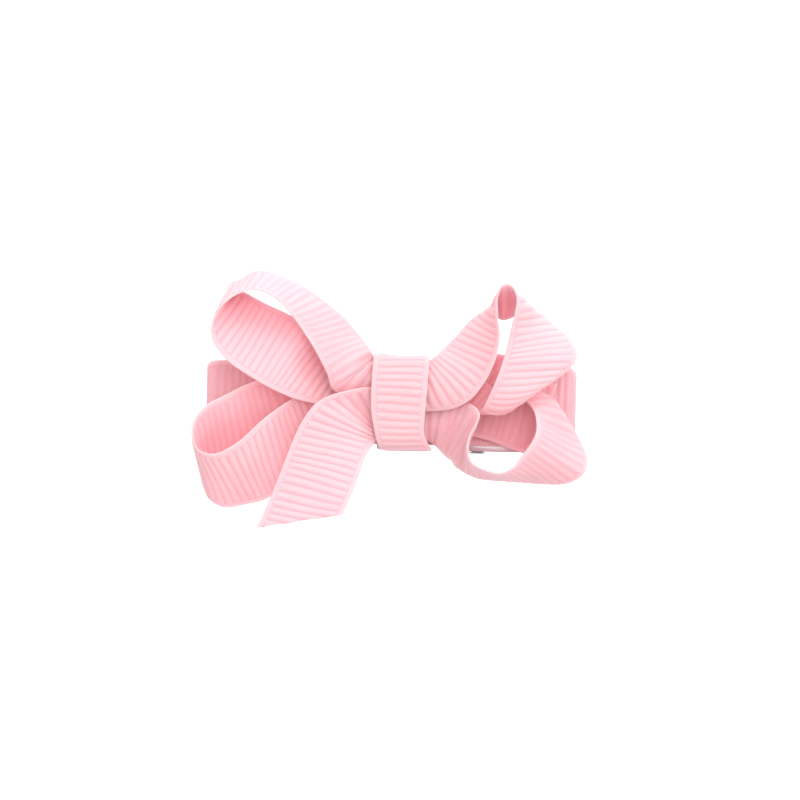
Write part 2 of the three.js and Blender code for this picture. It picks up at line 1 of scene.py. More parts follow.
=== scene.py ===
# %% [markdown]
# # A twisted grosgrain bow on an alligator clip
# The bow is one pale pink ribbon, turned into four loops and two tails, tied with thread, and
# bound by a narrower ribbon that also holds it to a ribbon-covered steel clip. The steel clip is
# packed already and is the fixed frame. Here every soft part is made again as woven ribbon, with
# its ribs, smooth selvedges and stitched edge, and the steel gets a worked metal finish.

# %% Load the fixed frame
import bpy
import bmesh
import math
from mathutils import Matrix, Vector


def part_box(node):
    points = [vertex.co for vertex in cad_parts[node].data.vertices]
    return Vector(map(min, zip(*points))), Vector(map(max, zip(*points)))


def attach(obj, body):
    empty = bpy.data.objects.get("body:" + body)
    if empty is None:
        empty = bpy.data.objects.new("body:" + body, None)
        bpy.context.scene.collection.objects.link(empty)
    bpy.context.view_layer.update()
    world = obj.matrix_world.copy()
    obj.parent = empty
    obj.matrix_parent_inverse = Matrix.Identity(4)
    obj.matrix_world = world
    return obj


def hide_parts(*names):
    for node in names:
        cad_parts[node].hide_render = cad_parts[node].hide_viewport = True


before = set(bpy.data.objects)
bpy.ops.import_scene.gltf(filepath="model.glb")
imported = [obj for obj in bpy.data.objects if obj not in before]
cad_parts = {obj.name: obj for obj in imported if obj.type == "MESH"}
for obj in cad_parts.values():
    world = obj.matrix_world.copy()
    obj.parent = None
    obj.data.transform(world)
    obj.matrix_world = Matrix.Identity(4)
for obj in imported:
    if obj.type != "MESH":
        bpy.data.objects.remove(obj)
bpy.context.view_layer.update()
MM = 0.001
ARM_BODY, LEVER_BODY = "bow_and_arm", "lever"


# %% [markdown]
# ## Sizes of the real ribbon
# Grosgrain has a rib about every millimetre. The ribs stop short of both selvedges, where the
# ribbon is smooth and thinner, and a row of small stitches marks the line between the two.

# %% Ribbon sizes, in millimetres
RIBBON_WIDTH = 10.0
WRAP_WIDTH = 7.3
COVER_WIDTH = 10.6
RIB_PITCH = 0.98
RIB_HEIGHT = 0.15
SELVEDGE = 0.78  # smooth border along each side
CLOTH_THICK = 0.34
WRAP_THICK = 0.32
COVER_THICK = 0.3
ROWS_PER_RIB = 8  # rows of faces
print("ribs in 10 mm:", round(10 / RIB_PITCH, 1))


# %% [markdown]
# ## Following a ribbon
# A ribbon is a row of stations. Each one gives the place of its two edges and how far the cloth
# arches between them. Smooth curves run through the edges, and rows are laid at an even spacing
# along the middle, so that every rib has the same width whatever the ribbon does. Where the edges
# come closer together than the full width, the row arches, because cloth keeps its width.

# %% Curves through the stations
FINE = 40  # places between two stations at which the length is measured


def through(points, t):
    """A Catmull-Rom curve through points, at t from 0 to the last point's number."""
    k = min(int(t), len(points) - 2)
    f = t - k
    b, c = points[k], points[k + 1]
    a = points[k - 1] if k > 0 else b * 2 - c
    d = points[k + 2] if k + 2 < len(points) else c * 2 - b
    return (b * 2 + (c - a) * f + (a * 2 - b * 5 + c * 4 - d) * f * f
            + (b * 3 - a - c * 3 + d) * f * f * f) * 0.5


def ribbon_rows(stations, width, spacing, across):
    """Even rows of points along a ribbon, and the ribbon's length, all in millimetres."""
    near = [Vector(s[0]) for s in stations]
    far = [Vector(s[1]) for s in stations]
    arches = [s[2] for s in stations]
    fine = [i / FINE for i in range(FINE * (len(stations) - 1) + 1)]
    middle = [(through(near, t) + through(far, t)) / 2 for t in fine]
    run = [0.0]
    for p, q in zip(middle, middle[1:]):
        run.append(run[-1] + (q - p).length)
    count = max(2, round(run[-1] / spacing))
    ribs, k = [], 0
    for i in range(count + 1):
        want = run[-1] * i / count
        while k < len(run) - 2 and run[k + 1] < want:
            k += 1
        t = fine[k] + (fine[k + 1] - fine[k]) * (want - run[k]) / max(run[k + 1] - run[k], 1e-9)
        a, b = through(near, t), through(far, t)
        s = min(int(t), len(arches) - 2)
        arch = arches[s] + (arches[s + 1] - arches[s]) * (t - s)
        ribs.append(((a + b) / 2, (b - a).normalized(), min((b - a).length, width), arch))
    rows = []
    for i, (centre, side, chord, arch) in enumerate(ribs):
        heading = ribs[min(i + 1, count)][0] - ribs[max(i - 1, 0)][0]
        bulge = heading.cross(side).normalized()
        # Height of a shallow arch that is as long as the width and as wide as the chord.
        sag = arch * chord * math.sqrt(max(0.0, 3 / 8 * (width / chord - 1)))
        rows.append([centre + side * ((v - 0.5) * chord) + bulge * (sag * 4 * v * (1 - v))
                     for v in across])
    return rows, run[-1]


# %% [markdown]
# ## Weaving a ribbon
# Each ribbon starts as Blender's grid, whose rows and columns are moved onto the ribbon's course.
# The ribs are real relief: a row on a ridge is pushed out and a row in a groove is pulled in,
# fading out at the selvedges. Woven ribs are never quite even, so they drift a little along the
# ribbon. The grid's UV map is set in millimetres along and across the ribbon with the same drift,
# so the weave in the material always follows the relief. Solidify then gives it its thickness.

# %% Place of the columns, and the relief
INNER_FACES = 9  # faces across the ribbed middle
RIBS_START, RIBS_FADE = 0.85 * SELVEDGE, 0.45 * SELVEDGE  # in from the edge, and over what length
RIDGE_SHAPE = 0.75  # under 1 gives round ridges and narrow grooves
RIDGE_LEVEL = 0.55  # share of the rib's height that lies below the cloth's middle


def columns(width):
    """Where the columns of faces lie across a ribbon, from 0 to 1, closest at the selvedges."""
    edge = SELVEDGE / width
    side = [share * edge for share in (0.0, 0.25, 0.6, 0.85, 1.0, 1.3)]
    inner = [side[-1] + (1 - 2 * side[-1]) * k / INNER_FACES for k in range(1, INNER_FACES)]
    return side + inner + [1 - v for v in reversed(side)]


def relief(along, v, width):
    """Height of the cloth above its middle, at a place along and across a ribbon."""
    inset = min(v, 1 - v) * width
    body = min(1.0, max(0.0, (inset - RIBS_START) / RIBS_FADE))
    wave = 0.5 + 0.5 * math.cos(2 * math.pi * along / RIB_PITCH)
    return RIB_HEIGHT * body * (wave ** RIDGE_SHAPE - RIDGE_LEVEL)


def drifted(along, v):
    """The length at a place once the ribs have bunched up and leaned over by a fraction of one."""
    bunched = 0.1 * math.sin(0.9 * along)
    leaning = 0.15 * math.sin(3.1 * v + 0.45 * along)
    return along + bunched + leaning


SELVEDGE_THIN = 0.55  # share of the thickness left at the very edge


def finish_cloth(piece, thick):
    """Gives an open sheet its thickness, thinner at the selvedges, and smooth shading."""
    solid = piece.modifiers.new("cloth thickness", "SOLIDIFY")
    solid.thickness = thick * MM
    solid.offset = 0
    solid.vertex_group = "body of the cloth"
    solid.thickness_vertex_group = SELVEDGE_THIN
    solid.use_rim = True
    bpy.context.view_layer.objects.active = piece
    bpy.ops.object.modifier_apply(modifier=solid.name)
    for polygon in piece.data.polygons:
        polygon.use_smooth = True


def weave(name, stations, width, material, thick=CLOTH_THICK):
    """Makes one ribbon along its stations and returns it with its length in millimetres."""
    across = columns(width)
    rows, length = ribbon_rows(stations, width, RIB_PITCH / ROWS_PER_RIB, across)
    bpy.ops.object.select_all(action="DESELECT")
    bpy.ops.mesh.primitive_grid_add(
        x_subdivisions=len(rows) - 1, y_subdivisions=len(across) - 1, size=1, calc_uvs=True)
    piece = bpy.context.object
    piece.name = piece.data.name = name
    mesh = piece.data
    last_row, last_column = len(rows) - 1, len(across) - 1

    def run(i, j):
        return drifted(length * i / last_row, across[j])

    place = [(round((v.co.x + 0.5) * last_row), round((v.co.y + 0.5) * last_column))
             for v in mesh.vertices]
    body = piece.vertex_groups.new(name="body of the cloth")
    for vertex, (i, j) in zip(mesh.vertices, place):
        along = rows[min(i + 1, last_row)][j] - rows[max(i - 1, 0)][j]
        side = rows[i][min(j + 1, last_column)] - rows[i][max(j - 1, 0)]
        out = along.cross(side).normalized()
        vertex.co = (rows[i][j] + out * relief(run(i, j), across[j], width)) * MM
        inset = min(across[j], 1 - across[j]) * width
        body.add([vertex.index], min(1.0, inset / SELVEDGE), "REPLACE")
    uv = mesh.uv_layers.active.data
    for loop in mesh.loops:
        i, j = place[loop.vertex_index]
        uv[loop.index].uv = (run(i, j), across[j] * width)
    finish_cloth(piece, thick)
    mesh.materials.append(material)
    print(name, "length", round(length, 1), "mm,", len(piece.data.polygons), "faces")
    return piece, length


# %% [markdown]
# ## The ribbon's finish
# The yarn is a soft matt pink, and the cloth is thin enough for some light to pass through it.
# Light that bounces inside a loop gets pinker by itself when the colour is right. The material
# adds what relief can't show: fine warp threads, painted shade in the grooves, the stitches
# beside each selvedge, and a slight unevenness of dye.

# %% Small helpers for node trees
def node(tree, kind, **settings):
    """A new node of a kind, with its settings."""
    made = tree.nodes.new(kind)
    for key, value in settings.items():
        setattr(made, key, value)
    return made


def maths(tree, operation, a, b=None, c=None, clamp=False):
    """A Math node whose inputs are numbers or sockets; returns its output."""
    made = node(tree, "ShaderNodeMath", operation=operation, use_clamp=clamp)
    for socket, value in zip(made.inputs, (a, b, c)):
        if value is None:
            continue
        if hasattr(value, "is_linked"):
            tree.links.new(value, socket)
        else:
            socket.default_value = value
    return made.outputs[0]


def blend_colours(tree, amount, first, second):
    """Mixes two colours; each may be a socket or a plain colour."""
    mix = node(tree, "ShaderNodeMix", data_type="RGBA")
    tree.links.new(amount, mix.inputs[0])
    for socket, value in ((mix.inputs[6], first), (mix.inputs[7], second)):
        if hasattr(value, "is_linked"):
            tree.links.new(value, socket)
        else:
            socket.default_value = (*value, 1)
    return mix.outputs[2]


# %% The woven ribbon material
WARP_PITCH, PICK_PITCH = 0.17, 0.31  # the fine threads
GROOVE_SHADE_SHAPE = 2.2  # over 1 keeps the painted groove shade to the bottom of a groove
STITCH_PITCH, STITCH_LINE, STITCH_HALF = 0.49, 0.95 * SELVEDGE, 0.085
GROOVE_SHADE_SHARE, DYE_SHARE, STITCH_SHARE = 0.8, 0.5, 0.5  # how far the painted groove shade, the dye and the stitches cover the pale yarn
LIGHT_DEPTH = 0.9 * MM  # how far light spreads in the cloth


def grosgrain(name, width, pale, groove_shade_and_dye, stitch):
    """The finish of a ribbon of one width, from its UV map in millimetres."""
    material = bpy.data.materials.new(name)
    material.use_nodes = True
    tree = material.node_tree
    shader = tree.nodes["Principled BSDF"]
    shader.inputs["Roughness"].default_value = 0.78
    shader.inputs["Specular IOR Level"].default_value = 0.3
    shader.inputs["Sheen Weight"].default_value = 0.12
    shader.inputs["Sheen Roughness"].default_value = 0.5
    shader.inputs["Subsurface Weight"].default_value = 0.6
    shader.inputs["Subsurface Radius"].default_value = (1.0, 0.85, 0.9)
    shader.inputs["Subsurface Scale"].default_value = LIGHT_DEPTH
    uv = node(tree, "ShaderNodeUVMap", uv_map="UVMap")
    split = node(tree, "ShaderNodeSeparateXYZ")
    tree.links.new(uv.outputs[0], split.inputs[0])
    along, across = split.outputs[0], split.outputs[1]

    inset = maths(tree, "SUBTRACT", width / 2, maths(
        tree, "ABSOLUTE", maths(tree, "SUBTRACT", across, width / 2)))
    ribbed = maths(tree, "MULTIPLY", maths(tree, "SUBTRACT", inset, RIBS_START), 3.0, clamp=True)
    wave = maths(tree, "COSINE", maths(tree, "MULTIPLY", along, 2 * math.pi / RIB_PITCH))
    # Painted shade: the bottom of each groove between the ribs is coloured darker and pinker, as if
    # shaded.
    valley_shade = maths(tree, "POWER", maths(tree, "MULTIPLY_ADD", wave, -0.5, 0.5), GROOVE_SHADE_SHAPE)
    painted_groove_shade = maths(tree, "MULTIPLY", valley_shade, ribbed)

    warp = maths(tree, "SINE", maths(tree, "MULTIPLY", across, 2 * math.pi / WARP_PITCH))
    pick = maths(tree, "SINE", maths(tree, "MULTIPLY", along, 2 * math.pi / PICK_PITCH))
    threads = maths(tree, "MULTIPLY", warp, pick)
    dash = maths(tree, "GREATER_THAN", maths(
        tree, "SINE", maths(tree, "MULTIPLY", along, 2 * math.pi / STITCH_PITCH)), 0.1)
    line = maths(tree, "LESS_THAN", maths(
        tree, "ABSOLUTE", maths(tree, "SUBTRACT", inset, STITCH_LINE)), STITCH_HALF)
    stitches = maths(tree, "MULTIPLY", dash, line)

    dye = node(tree, "ShaderNodeTexNoise")
    dye.inputs["Scale"].default_value = 0.35
    dye.inputs["Detail"].default_value = 4
    fuzz = node(tree, "ShaderNodeTexNoise")
    fuzz.inputs["Scale"].default_value = 7
    fuzz.inputs["Detail"].default_value = 3
    for texture in (dye, fuzz):
        tree.links.new(uv.outputs[0], texture.inputs["Vector"])

    # Painted shade in the grooves; the same darker pink then also gives the darker dye of the uneven
    # tone.
    colour = blend_colours(tree, maths(tree, "MULTIPLY", painted_groove_shade, GROOVE_SHADE_SHARE), pale, groove_shade_and_dye)
    uneven = maths(tree, "SUBTRACT", dye.outputs[0], 0.45)
    uneven = maths(tree, "MULTIPLY", uneven, DYE_SHARE, clamp=True)
    colour = blend_colours(tree, uneven, colour, groove_shade_and_dye)
    colour = blend_colours(tree, maths(tree, "MULTIPLY", stitches, STITCH_SHARE), colour, stitch)
    tree.links.new(colour, shader.inputs["Base Color"])

    height = maths(tree, "ADD", maths(tree, "MULTIPLY", threads, 0.25), fuzz.outputs[0])
    height = maths(tree, "SUBTRACT", height, maths(tree, "MULTIPLY", stitches, 0.8))
    bump = node(tree, "ShaderNodeBump")
    bump.inputs["Strength"].default_value = 0.35
    bump.inputs["Distance"].default_value = 0.05 * MM
    tree.links.new(height, bump.inputs["Height"])
    tree.links.new(bump.outputs[0], shader.inputs["Normal"])
    return material


PALE = (0.97, 0.54, 0.575)
COVER_PALE = (0.97, 0.53, 0.57)
# The darker pink below is painted into the grooves as shade, and is also the darker dye of the
# uneven tone.
GROOVE_SHADE_AND_DYE = (0.95, 0.42, 0.475)
STITCH = (0.74, 0.27, 0.34)
ribbon_finish = grosgrain("bow grosgrain", RIBBON_WIDTH, PALE, GROOVE_SHADE_AND_DYE, STITCH)
wrap_finish = grosgrain("wrap grosgrain", WRAP_WIDTH, PALE, GROOVE_SHADE_AND_DYE, STITCH)
print("cloth materials:", ribbon_finish.name, "and", wrap_finish.name)


# %% [markdown]
# ## The four loops and two tails
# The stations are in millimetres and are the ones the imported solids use, so each woven ribbon lies
# close to its solid. Only the last two of the front tail differ, since its end is cut off later. A
# loop leaves the knot, turns over and comes back behind itself.

# %% Top left loop
TOP_LEFT = [
    [[-0.5, -5.8, 0.1], [-0.6, -5.8, 4.95], 0],
    [[-3.6, -5.9, 0.3], [-1.9, -5.8, 5.2], -0.2],
    [[-7, -6.4, 0.5], [-2.9, -5.3, 5.35], -0.5],
    [[-9.1, -7.2, 1.4], [-3.65, -4.4, 5.25], -0.6],
    [[-9.8, -8, 3.3], [-4.4, -3.8, 6.75], -0.5],
    [[-11.4, -9, 6.4], [-5.8, -1.8, 8.6], -0.2],
    [[-13.6, -9.8, 9.7], [-8.6, -1.3, 11.5], 0],
    [[-15.9, -10.6, 12.4], [-12.5, -1.4, 14.3], 0],
    [[-18.2, -11.2, 13.8], [-16.2, -1.7, 16], 0],
    [[-20.2, -11.6, 13.9], [-19.1, -2.1, 16.6], 0],
    [[-22.4, -11.8, 12.9], [-21.4, -2.2, 15.4], 0],
    [[-24, -11.8, 11.2], [-22.6, -2.5, 14.9], 0],
    [[-24.8, -11.4, 9.1], [-22, -3.1, 14.3], 0],
    [[-24.5, -10.8, 6.8], [-20.4, -4.1, 13.7], 0],
    [[-22.5, -9.8, 4.6], [-18, -5.1, 12.3], 0],
    [[-20.1, -9, 3], [-15.1, -5.8, 11], 0],
    [[-17.5, -8.4, 1.5], [-12, -6.5, 9.6], 0],
    [[-14.6, -7.2, 0.2], [-9.4, -3.6, 8], 0],
    [[-11.7, -6.2, -0.5], [-7.4, -3.2, 6.7], 0],
    [[-8, -5.2, -1.1], [-4.8, -3.8, 5.5], 0],
    [[-3.9, -4.8, -1.8], [-2.7, -4.7, 5], 0],
    [[-0.5, -4.7, -2], [-0.6, -4.7, 4.8], 0],
]
print("top left stations:", len(TOP_LEFT))

# %% Bottom left loop
BOTTOM_LEFT = [
    [[-0.6, -3.6, 3.5], [-0.4, -3.6, -4.7], 0],
    [[-4, -3.6, 3.4], [-3.3, -3.6, -4.9], 0],
    [[-7.9, -3.6, 2.4], [-6.4, -3.4, -6], 0],
    [[-11.7, -4.5, 1.1], [-9.2, -3.3, -7.3], 0],
    [[-14.9, -6.4, -0.4], [-12, -2.6, -9.2], 0],
    [[-18.1, -8.4, -2.9], [-15, -4.8, -11.6], 0],
    [[-20.9, -9.8, -5.6], [-17.7, -4.2, -13.2], 0],
    [[-23.8, -10.6, -7.3], [-20.4, -4, -13.9], 0],
    [[-25.9, -10.8, -7], [-22.8, -4.6, -14.3], 0],
    [[-26.9, -10.6, -5.8], [-24.8, -4.3, -13.3], 0],
    [[-27.1, -10, -4.3], [-25.5, -3.3, -11.6], 0],
    [[-26.6, -9.2, -2.6], [-25.3, -2.6, -10], 0],
    [[-25.2, -8.2, -1], [-23.7, -2.5, -8.9], 0],
    [[-22.9, -7, 0.3], [-20.9, -2.5, -7.8], 0],
    [[-19.8, -5.6, 1.9], [-17.3, -2.5, -6.7], 0],
    [[-15.9, -4, 2.9], [-13.1, -2.5, -5.6], 0],
    [[-11.8, -2.9, 3.5], [-9.3, -2.5, -5], 0],
    [[-7.5, -2.6, 3.9], [-5.9, -2.5, -4.7], 0],
    [[-3.6, -2.5, 4], [-2.8, -2.5, -4.3], 0],
    [[-0.6, -2.55, 4], [-0.4, -2.55, -4.2], 0],
]
print("bottom left stations:", len(BOTTOM_LEFT))

# %% Top right loop
TOP_RIGHT = [
    [[0.5, -6.6, -1.2], [0.4, -6.4, 4.3], 0.1],
    [[3.6, -6.9, -1.25], [1.3, -6.3, 4.8], 0.1],
    [[6.5, -8, -0.9], [2.3, -5.9, 5.2], 0.3],
    [[8.8, -9.1, 0.3], [3.5, -5.4, 5.3], 0.4],
    [[10.2, -9.9, 2], [4.55, -4.6, 6.15], 0.4],
    [[11.3, -10.5, 4], [5.5, -3.5, 7.1], 0.2],
    [[12.1, -11, 6.3], [6.9, -2.8, 8.6], 0],
    [[12.4, -11.3, 8.7], [8.7, -2.3, 10.7], 0],
    [[12.1, -11.5, 11.3], [10.5, -2.3, 11.9], 0.3],
    [[12, -11.6, 13.4], [11.8, -2.5, 11.6], 0.35],
    [[12.4, -11.7, 14.9], [12.5, -2.7, 11], 0.3],
    [[13.3, -11.7, 15.4], [13.2, -2.8, 10.9], 0.2],
    [[14.2, -11.6, 14.8], [14.1, -2.7, 11.2], 0.3],
    [[14.6, -11.6, 13.4], [15.4, -2.5, 12], 0.6],
    [[14.4, -11.5, 11.7], [17.4, -2.4, 12], 0.6],
    [[14, -11.2, 9.8], [19.7, -3, 10.2], 0],
    [[13.5, -10.8, 7.4], [21.7, -5.2, 8.6], 0],
    [[12.9, -10.6, 5.3], [22.6, -8.6, 6.3], 0],
    [[12.2, -10.4, 3.2], [21.2, -8.6, 4.3], 0.4],
    [[11.3, -10, 1], [18.5, -8.8, 2.3], 0.5],
    [[10.4, -9, -0.8], [15.3, -8.2, 0.5], 0.4],
    [[9.2, -7.1, -1.7], [12.6, -6.4, 1.2], 0],
    [[6.9, -5.6, -1.6], [9.6, -4.9, 3.6], 0],
    [[3.9, -4.7, -1.3], [4.8, -4.6, 4.9], 0],
    [[0.5, -4.6, -1.4], [0.4, -4.6, 4.8], 0],
]
print("top right stations:", len(TOP_RIGHT))

# %% Bottom right loop
BOTTOM_RIGHT = [
    [[0.5, -5.6, -0.1], [0.6, -5.4, -5.1], 0],
    [[3.1, -5.5, -0.1], [2.8, -5.2, -4.9], -0.1],
    [[6, -6.3, 0], [4.4, -4.2, -5.7], -0.35],
    [[8.3, -7.7, 0.1], [5.6, -3.2, -6.9], -0.3],
    [[10, -10.2, -1.2], [6.4, -3, -7.6], -0.2],
    [[9.8, -10.3, -2.5], [7.1, -2.7, -8.4], 0],
    [[8.9, -10.6, -4.2], [7.9, -1.8, -8.9], 0],
    [[8.6, -11, -5.9], [8.8, -1.6, -9.4], 0],
    [[9, -11.3, -7.6], [10.2, -1.6, -9.9], 0],
    [[10.6, -11.4, -8.6], [12.2, -1.6, -10.1], 0],
    [[12.7, -11.4, -9.1], [14.8, -1.7, -10.2], 0],
    [[14.5, -11.3, -8.3], [18.2, -2.3, -10.4], 0],
    [[15.7, -11.1, -6.7], [21.5, -3.8, -10.3], 0],
    [[16.8, -10.8, -5.2], [23.7, -4.8, -9.1], 0],
    [[17.4, -10.4, -3.8], [24.3, -4.1, -7.3], 0],
    [[17.5, -9.6, -2.4], [23.6, -3.2, -5.2], 0],
    [[17.1, -8.4, -0.9], [22.3, -3.2, -3.2], -0.4],
    [[16, -7, 0.3], [20.3, -3.4, -0.7], -0.5],
    [[14, -5.2, 1], [17.9, -3.6, 1.8], -0.2],
    [[11.4, -4.2, 0.8], [15.4, -3.6, 4.9], 0],
    [[8.4, -3.6, 0.6], [12.5, -3.6, 6.4], 0],
    [[5.8, -3.5, 0.5], [8, -3.6, 6], 0],
    [[3.2, -3.5, 0.5], [4.1, -3.5, 5.2], 0],
    [[0.5, -3.5, 0.8], [0.4, -3.5, 5], 0],
]
print("bottom right stations:", len(BOTTOM_RIGHT))

# %% Front and back tails
FRONT_TAIL = [
    [[-0.5, -7, 1.2], [-0.5, -6.9, -3.3], 0],
    [[-2.4, -7.05, 1.5], [-0.8, -6.8, -3.8], 0],
    [[-4.5, -7.65, 1.7], [-1.2, -6.75, -4.2], -0.2],
    [[-7, -8.5, 1.2], [-1.6, -6.7, -4.5], -0.5],
    [[-9.8, -9.2, 0.3], [-2.2, -6.7, -4.8], -0.6],
    [[-11.7, -9.5, -1], [-2.8, -6.7, -5.1], -0.3],
    [[-12.9, -9.6, -2.9], [-3.6, -7, -5.7], 0],
    [[-14.1, -9.6, -5.6], [-4.7, -8.2, -7.7], 0],
    [[-15.5, -9.7, -9.4], [-6, -9.3, -11.6], 0],
    [[-17.1, -9.9, -13.6], [-7.5, -9.7, -15.1], 0],
    [[-18.7, -10, -17.2], [-9.2, -9.9, -19.2], 0],
]
BACK_TAIL = [
    [[0.4, -2.5, 4.4], [0.6, -2.5, -4.3], 0],
    [[4.4, -2.5, 5.2], [3.4, -2.5, -4.2], 0],
    [[9.4, -2.5, 5.6], [7.4, -2.5, -4.2], 0],
    [[13.6, -2.5, 4.8], [10.9, -2.5, -4.8], 0],
    [[17.2, -2.5, 3.6], [14.1, -2.5, -5.9], 0],
    [[20.2, -2.5, 2.6], [17.1, -2.5, -6.9], 0],
]
print("tail stations:", len(FRONT_TAIL), "and", len(BACK_TAIL))

# %% Weave the loops and tails
loop_top_left, top_left_length = weave(
    "ribbon_loop_top_left", TOP_LEFT, RIBBON_WIDTH, ribbon_finish)
loop_bottom_left, bottom_left_length = weave(
    "ribbon_loop_bottom_left", BOTTOM_LEFT, RIBBON_WIDTH, ribbon_finish)
loop_top_right, top_right_length = weave(
    "ribbon_loop_top_right", TOP_RIGHT, RIBBON_WIDTH, ribbon_finish)
loop_bottom_right, bottom_right_length = weave(
    "ribbon_loop_bottom_right", BOTTOM_RIGHT, RIBBON_WIDTH, ribbon_finish)
tail_front, tail_front_length = weave("ribbon_tail_front", FRONT_TAIL, RIBBON_WIDTH, ribbon_finish)
tail_back, tail_back_length = weave("ribbon_tail_back", BACK_TAIL, RIBBON_WIDTH, ribbon_finish)


# %% [markdown]
# ## The slanting cut
# The front tail is cut on a slant with scissors and sealed. It is woven a little too long, and
# bisect then takes off the end and closes the wall it leaves, which is shaded flat.

# %% Cut the front tail
CUT_LEFT = Vector((-18.5, -10, -16.8)) * MM
CUT_RIGHT = Vector((-7.7, -9.8, -14.9)) * MM


def cut_off(piece, left, right):
    """Cuts a piece along the line from left to right and drops what hangs below it."""
    line = right - left
    normal = Vector((line.z, 0, -line.x)).normalized()
    bpy.ops.object.select_all(action="DESELECT")
    piece.select_set(True)
    bpy.context.view_layer.objects.active = piece
    bpy.ops.object.mode_set(mode="EDIT")
    bpy.ops.mesh.select_all(action="SELECT")
    bpy.ops.mesh.bisect(plane_co=left, plane_no=normal, use_fill=True, clear_outer=True)
    bpy.ops.object.mode_set(mode="OBJECT")
    for polygon in piece.data.polygons:
        polygon.use_smooth = not polygon.select
    lowest = min(v.co.z for v in piece.data.vertices) / MM
    print(piece.name, "now reaches down to", round(lowest, 1))


cut_off(tail_front, CUT_LEFT, CUT_RIGHT)


# %% [markdown]
# ## The cover of the clip
# A strip of the same ribbon is glued flat over the clip's front arm and folded round both ends.
# Its ribs stand upright, across the arm. Its course is a flat path in X and Y, turned round the
# ends in small half circles, with the two selvedges straight above each other.

# %% Course of the cover
COVER_SKIN = 0.25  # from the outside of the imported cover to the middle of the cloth
COVER_TUCKS = (-17, 16.2)  # where the folded ends stop, behind the arm
cover_lo, cover_hi = [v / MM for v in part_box("clip_cover_ribbon")]
COVER_Z = (cover_lo.z + cover_hi.z) / 2
COVER_FRONT, COVER_BACK = cover_lo.y + COVER_SKIN, cover_hi.y - COVER_SKIN


def cover_course():
    """Points of the cover's middle, from its tucked end round the tip to the other tucked end."""
    radius = (COVER_BACK - COVER_FRONT) / 2
    middle = (COVER_BACK + COVER_FRONT) / 2
    left, right = cover_lo.x + COVER_SKIN + radius, cover_hi.x - COVER_SKIN - radius
    bend = [(radius * math.cos(math.radians(a)), radius * math.sin(math.radians(a)))
            for a in range(-90, 91, 30)]
    path = [(x, COVER_BACK) for x in (COVER_TUCKS[0], -19, -21, -23)]
    path += [(left - out, middle - up) for out, up in bend]
    path += [(left + (right - left) * k / 32, COVER_FRONT) for k in range(1, 32)]
    path += [(right + out, middle + up) for out, up in bend]
    return path + [(x, COVER_BACK) for x in (20.5, 18.5, COVER_TUCKS[1])]


def half_height(x, corner=1.5):
    """Half of the cover's width, less in the rounded corners beside each fold."""
    inside = min(x - cover_lo.x, cover_hi.x - x, corner)
    return COVER_WIDTH / 2 - corner + math.sqrt(max(0.0, corner ** 2 - (corner - inside) ** 2))


COVER = [[[x, y, COVER_Z + half_height(x)], [x, y, COVER_Z - half_height(x)], 0]
         for x, y in cover_course()]
cover_finish = grosgrain("cover grosgrain", COVER_WIDTH, COVER_PALE, GROOVE_SHADE_AND_DYE, STITCH)
cover, cover_length = weave("ribbon_clip_cover", COVER, COVER_WIDTH, cover_finish, COVER_THICK)


# %% [markdown]
# ## The centre wrap
# A 7 mm ribbon goes once round the knot and the covered arm, and its ends lap and are glued behind
# the arm. It is pulled tight, so it dips in the middle at the top, where the bow is soft, and its
# edges bow in slightly.

# %% Course of the wrap
WRAP = [
    [[-3.3, -0.25, 1.5], [3.7, -0.25, 1.5], 0],
    [[-3.5, -0.25, 4.4], [3.5, -0.25, 4.4], 0],
    [[-3.55, -0.35, 5.15], [3.5, -0.35, 5.15], 0],
    [[-3.6, -1.2, 5.75], [3.5, -1.2, 5.7], 0],
    [[-3.65, -2.6, 6], [3.5, -2.6, 5.85], -0.8],
    [[-3.7, -4.2, 6.15], [3.5, -4.2, 5.95], -0.8],
    [[-3.75, -6, 6.1], [3.5, -6, 5.9], -0.8],
    [[-3.8, -7.55, 5.4], [3.45, -7.4, 5.3], 0],
    [[-3.95, -8.2, 4], [3.4, -8, 3.9], 0],
    [[-4.05, -8.5, 1.5], [3.25, -8.25, 1.5], 0],
    [[-3.95, -8.45, -1.5], [3, -8.15, -1.5], 0],
    [[-3.5, -8.15, -4], [2.95, -7.9, -4], 0],
    [[-3.15, -7.6, -5.3], [3.4, -7.35, -5.3], 0],
    [[-2.9, -6.6, -6.1], [3.9, -6.4, -6.1], 0],
    [[-2.85, -5, -6.3], [4, -5, -6.3], 0],
    [[-2.9, -3, -6.3], [3.9, -3, -6.3], 0],
    [[-3.1, -0.9, -6.25], [3.8, -0.9, -6.25], 0],
    [[-3.2, 0.25, -5.9], [3.7, 0.25, -5.9], 0],
    [[-3.3, 0.55, -4.8], [3.6, 0.55, -4.8], 0],
    [[-3.4, 0.55, -2], [3.5, 0.55, -2], 0],
    [[-3.45, 0.55, 1], [3.5, 0.55, 1], 0],
    [[-3.5, 0.55, 3.5], [3.5, 0.55, 3.5], 0],
]
wrap, wrap_length = weave("ribbon_centre_wrap", WRAP, WRAP_WIDTH, wrap_finish, WRAP_THICK)


# %% [markdown]
# ## Each ribbon rides on the arm
# Every ribbon rides with the covered arm and takes the place of its imported solid, which is
# hidden. The wrap is 7 mm wide, less than a declared sheet may be, so it is named as a piece that
# lies on the cover.

def stand_for(piece, body, node_name):
    """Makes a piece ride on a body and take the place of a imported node."""
    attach(piece, body)
    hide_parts(node_name)


def declare(piece, node_name):
    """A ribbon that rides on the arm in place of its imported node."""
    stand_for(piece, ARM_BODY, node_name)


